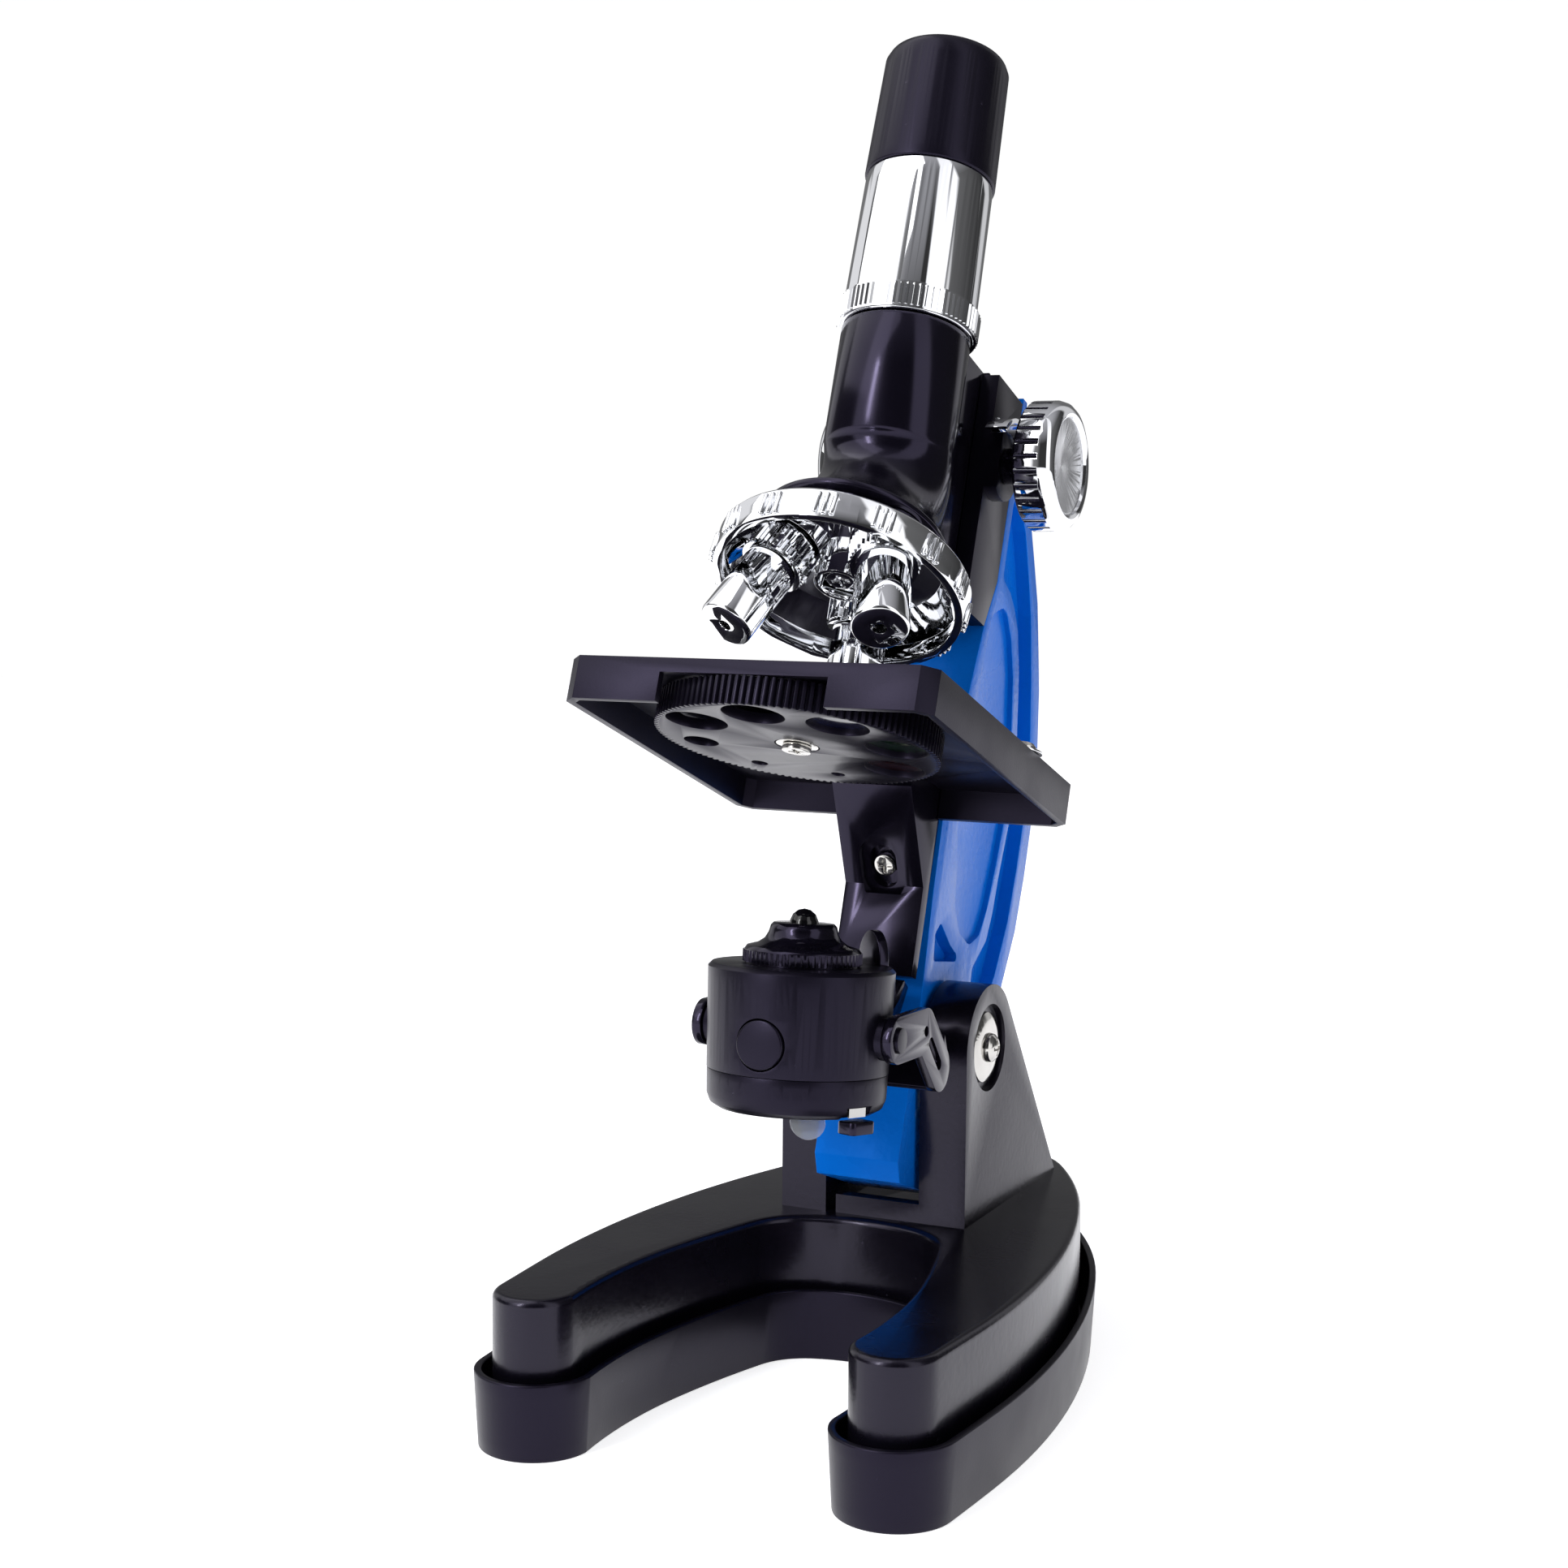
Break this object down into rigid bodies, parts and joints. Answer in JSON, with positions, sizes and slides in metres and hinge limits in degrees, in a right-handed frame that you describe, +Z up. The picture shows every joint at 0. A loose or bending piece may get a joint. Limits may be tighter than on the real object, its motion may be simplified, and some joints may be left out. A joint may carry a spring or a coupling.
{
  "type": "microscope",
  "caption": "Tilting student microscope with horseshoe base, blue cast limb, rack focus, turret with objectives, draw eyepiece, stage with filter wheel, and lamp with mirror.",
  "frame": {"origin": "on the resting plane, straight below the tilt pivot", "axes": "+Z up, +X along the tilt pivot, -Y towards the open end of the horseshoe base"},
  "size_m": [0.1084, 0.1736, 0.295],
  "materials": {
    "cast_enamel": "satin black enamel",
    "moulded_black": "glossy black moulding",
    "steel": "plated steel",
    "fibre": "pressed fibre",
    "blue_paint": "glossy blue paint on a die casting",
    "black_paint": "black paint on a die casting",
    "wheel_plastic": "glossy black moulding",
    "hub_plastic": "black moulding",
    "plating": "bright plating",
    "brass_gear": "machined brass",
    "optical_glass": "polished lens",
    "button_plastic": "black push button",
    "silvered_glass": "silvered glass",
    "clear_film": "clear protective film",
    "led_resin": "dark polished resin dome",
    "circuit_board": "glass fibre board",
    "blue_gel": "tinted clear disc",
    "green_gel": "tinted clear disc",
    "red_gel": "tinted clear disc"
  },
  "bodies": {
    "base": {"base_casting": "cast_enamel", "base_tray": "moulded_black", "base_screws": "steel", "pivot_bush": "steel", "pivot_washers": "steel", "pivot_screws": "steel"},
    "arm": {"friction_washers": "fibre", "limb": "blue_paint", "stage_bracket": "black_paint", "bracket_screw": "steel", "stage": "black_paint", "stage_screws": "steel", "wheel_screw": "steel", "wheel_washer": "steel", "clip_studs": "steel", "focus_housing": "black_paint", "housing_screws": "steel", "shaft_bushes": "hub_plastic", "shaft_straps": "plating", "lamp_yoke": "moulded_black"},
    "focus": {"focus_pinion": "brass_gear", "focus_shaft": "steel", "focus_knob_left": "plating", "focus_knob_right": "plating"},
    "carriage": {"focus_rack": "brass_gear", "tube_slide": "black_paint", "body_tube": "moulded_black", "turret_screw": "steel", "turret_washer": "steel", "detent_ball": "steel", "detent_spring": "steel"},
    "eyepiece": {"draw_tube": "plating", "knurled_ring": "plating", "eyepiece_cup": "moulded_black", "eye_lens": "optical_glass", "field_lens": "optical_glass"},
    "turret": {"turret_disc": "plating", "objective_collars": "plating", "objective_low_barrel": "plating", "objective_high_barrel": "plating", "objective_mid_barrel": "plating", "objective_lenses": "optical_glass"},
    "wheel": {"filter_wheel": "wheel_plastic", "blue_filter": "blue_gel", "green_filter": "green_gel", "red_filter": "red_gel"},
    "slide_clip_left": {"clip_left": "plating"},
    "slide_clip_right": {"clip_right": "plating"},
    "lamp": {"lamp_body": "moulded_black", "lamp_cap": "moulded_black", "lamp_mirror": "silvered_glass", "mirror_film": "clear_film", "lamp_bezel": "plating", "lamp_led": "led_resin", "coin_cells": "steel", "lamp_board": "circuit_board", "battery_contact": "plating"},
    "button": {"lamp_button": "button_plastic"},
    "switch": {"lamp_switch": "hub_plastic"}
  },
  "joints": [
    {"name": "arm_tilt", "type": "hinge", "parent": "base", "child": "arm", "pos_m": [0, 0, 0.07], "axis": [1, 0, 0], "range_deg": [-25, 20]},
    {"name": "focus_spin", "type": "hinge", "parent": "arm", "child": "focus", "pos_m": [0, 0.02889, 0.19996], "axis": [1, 0, 0], "range_deg": [-258, 43]},
    {"name": "tube_focus", "type": "slide", "parent": "arm", "child": "carriage", "axis": [0, 0.342, 0.9397], "range_m": [-0.003, 0.018]},
    {"name": "eyepiece_draw", "type": "slide", "parent": "carriage", "child": "eyepiece", "axis": [0, 0.342, 0.9397], "range_m": [0, 0.02]},
    {"name": "turret_spin", "type": "hinge", "parent": "carriage", "child": "turret", "pos_m": [0, -0.00658, 0.21127], "axis": [0, 0.6018, 0.7986], "continuous": true},
    {"name": "wheel_spin", "type": "hinge", "parent": "arm", "child": "wheel", "pos_m": [0, -0.05263, 0.14907], "axis": [0, 0.342, 0.9397], "continuous": true},
    {"name": "clip_left_swivel", "type": "hinge", "parent": "arm", "child": "slide_clip_left", "pos_m": [-0.0366, -0.02209, 0.13795], "axis": [0, 0.342, 0.9397], "range_deg": [-15, 45]},
    {"name": "clip_right_swivel", "type": "hinge", "parent": "arm", "child": "slide_clip_right", "pos_m": [0.0366, -0.02209, 0.13795], "axis": [0, 0.342, 0.9397], "range_deg": [-45, 15]},
    {"name": "lamp_tilt", "type": "hinge", "parent": "arm", "child": "lamp", "pos_m": [0, -0.0535, 0.0812], "axis": [1, 0, 0], "range_deg": [-15, 20]},
    {"name": "lamp_button_press", "type": "slide", "parent": "lamp", "child": "button", "axis": [0, 0.9962, -0.0872], "range_m": [0, 0.0008], "stiffness_N_per_m": 600, "springref_m": -0.0006},
    {"name": "lamp_switch_slide", "type": "hinge", "parent": "lamp", "child": "switch", "pos_m": [0, -0.0535, 0.0812], "axis": [0, 0.0872, 0.9962], "range_deg": [0, 9]}
  ],
  "couplings": [
    {"joint": "focus_spin", "follows": "tube_focus", "rad_per_m": -250}
  ]
}
